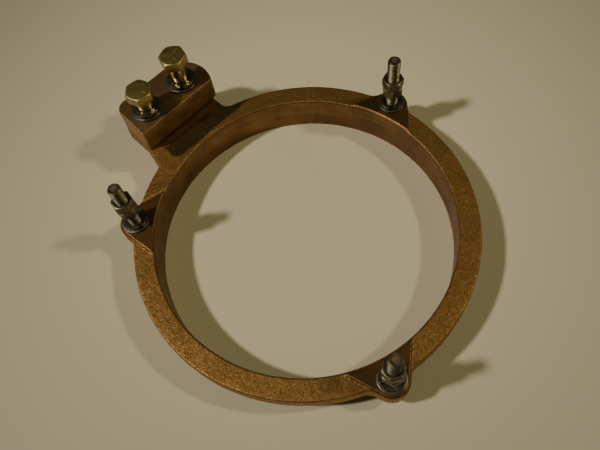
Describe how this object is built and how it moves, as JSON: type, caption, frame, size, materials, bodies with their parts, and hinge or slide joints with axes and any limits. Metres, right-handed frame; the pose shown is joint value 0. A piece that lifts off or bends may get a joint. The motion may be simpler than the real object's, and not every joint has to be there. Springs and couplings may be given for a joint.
{
  "type": "bronze pipe clamp ring with keeper bar",
  "caption": "Cast bronze ring clamp for a pipe, with bolted ears round its edge and a radial pad whose keeper bar is clamped by hex bolts.",
  "frame": {"origin": "on the bore axis, in the face of the collar that the ring stands on", "axes": "+Z along the bore, towards the nuts; +Y out through the keeper bar, midway between the sides of its pad"},
  "size_m": [0.2639, 0.3063, 0.0834],
  "materials": {
    "cast_bronze": "as-cast, sandy, golden brown, with smoother machined faces",
    "keeper_bronze": "smooth drawn bar, brown with drag marks",
    "zinc_yellow_steel": "yellow zinc plated",
    "washer_steel": "satin grey",
    "bare_steel": "dark reflective steel"
  },
  "bodies": {
    "ring": {"clamp_ring": "cast_bronze"},
    "keeper": {"keeper_bar": "keeper_bronze"},
    "left_bolt": {"left_ear_bolt": "bare_steel"},
    "left_washers": {"left_ear_flat_washer": "washer_steel", "left_ear_lock_washer": "washer_steel"},
    "left_nuts": {"left_lower_nut": "bare_steel", "left_upper_nut": "bare_steel"},
    "right_bolt": {"right_ear_bolt": "bare_steel"},
    "right_washers": {"right_ear_flat_washer": "washer_steel", "right_ear_lock_washer": "washer_steel"},
    "right_nuts": {"right_lower_nut": "bare_steel", "right_upper_nut": "bare_steel"},
    "rear_bolt": {"rear_ear_bolt": "bare_steel"},
    "rear_washers": {"rear_ear_flat_washer": "washer_steel", "rear_ear_lock_washer": "washer_steel"},
    "rear_nuts": {"rear_lower_nut": "bare_steel", "rear_upper_nut": "bare_steel"},
    "left_keeper_bolt": {"left_keeper_bolt": "zinc_yellow_steel"},
    "left_keeper_washers": {"left_keeper_flat_washer": "washer_steel", "left_keeper_lock_washer": "washer_steel"},
    "right_keeper_bolt": {"right_keeper_bolt": "zinc_yellow_steel"},
    "right_keeper_washers": {"right_keeper_flat_washer": "washer_steel", "right_keeper_lock_washer": "washer_steel"}
  },
  "joints": [
    {"name": "left_nut_travel", "type": "slide", "parent": "ring", "child": "left_nuts", "axis": [0, 0, 1], "range_m": [-0.013, 0.01514]},
    {"name": "left_bolt_turn", "type": "hinge", "parent": "ring", "child": "left_bolt", "pos_m": [-0.08299, 0.09547, 0.0312], "axis": [0, 0, -1], "range_deg": [-2948.5, 3433.8]},
    {"name": "left_washer_lift", "type": "slide", "parent": "ring", "child": "left_washers", "axis": [0, 0, 1], "range_m": [0, 0.0125]},
    {"name": "right_nut_travel", "type": "slide", "parent": "ring", "child": "right_nuts", "axis": [0, 0, 1], "range_m": [-0.0095, 0.01864]},
    {"name": "right_bolt_turn", "type": "hinge", "parent": "ring", "child": "right_bolt", "pos_m": [0.12418, 0.02414, 0.0312], "axis": [0, 0, -1], "range_deg": [-2154.8, 4227.5]},
    {"name": "right_washer_lift", "type": "slide", "parent": "ring", "child": "right_washers", "axis": [0, 0, 1], "range_m": [0, 0.009]},
    {"name": "rear_nut_travel", "type": "slide", "parent": "ring", "child": "rear_nuts", "axis": [0, 0, 1], "range_m": [-0.008, 0.02014]},
    {"name": "rear_bolt_turn", "type": "hinge", "parent": "ring", "child": "rear_bolt", "pos_m": [-0.04118, -0.11961, 0.0312], "axis": [0, 0, -1], "range_deg": [-1814.7, 4567.7]},
    {"name": "rear_washer_lift", "type": "slide", "parent": "ring", "child": "rear_washers", "axis": [0, 0, 1], "range_m": [0, 0.0075]},
    {"name": "keeper_lift", "type": "slide", "parent": "ring", "child": "keeper", "axis": [0, 0, 1], "range_m": [0, 0.008]},
    {"name": "left_keeper_bolt_travel", "type": "slide", "parent": "keeper", "child": "left_keeper_bolt", "axis": [0, 0, 1], "range_m": [-0.011, 0.004]},
    {"name": "left_keeper_washer_lift", "type": "slide", "parent": "keeper", "child": "left_keeper_washers", "axis": [0, 0, 1], "range_m": [0, 0.0105]},
    {"name": "right_keeper_bolt_travel", "type": "slide", "parent": "keeper", "child": "right_keeper_bolt", "axis": [0, 0, 1], "range_m": [-0.0175, 0.004]},
    {"name": "right_keeper_washer_lift", "type": "slide", "parent": "keeper", "child": "right_keeper_washers", "axis": [0, 0, 1], "range_m": [0, 0.017]}
  ],
  "couplings": [
    {"joint": "left_bolt_turn", "follows": "left_nut_travel", "rad_per_m": 3957.9},
    {"joint": "right_bolt_turn", "follows": "right_nut_travel", "rad_per_m": 3957.9},
    {"joint": "rear_bolt_turn", "follows": "rear_nut_travel", "rad_per_m": 3957.9}
  ]
}
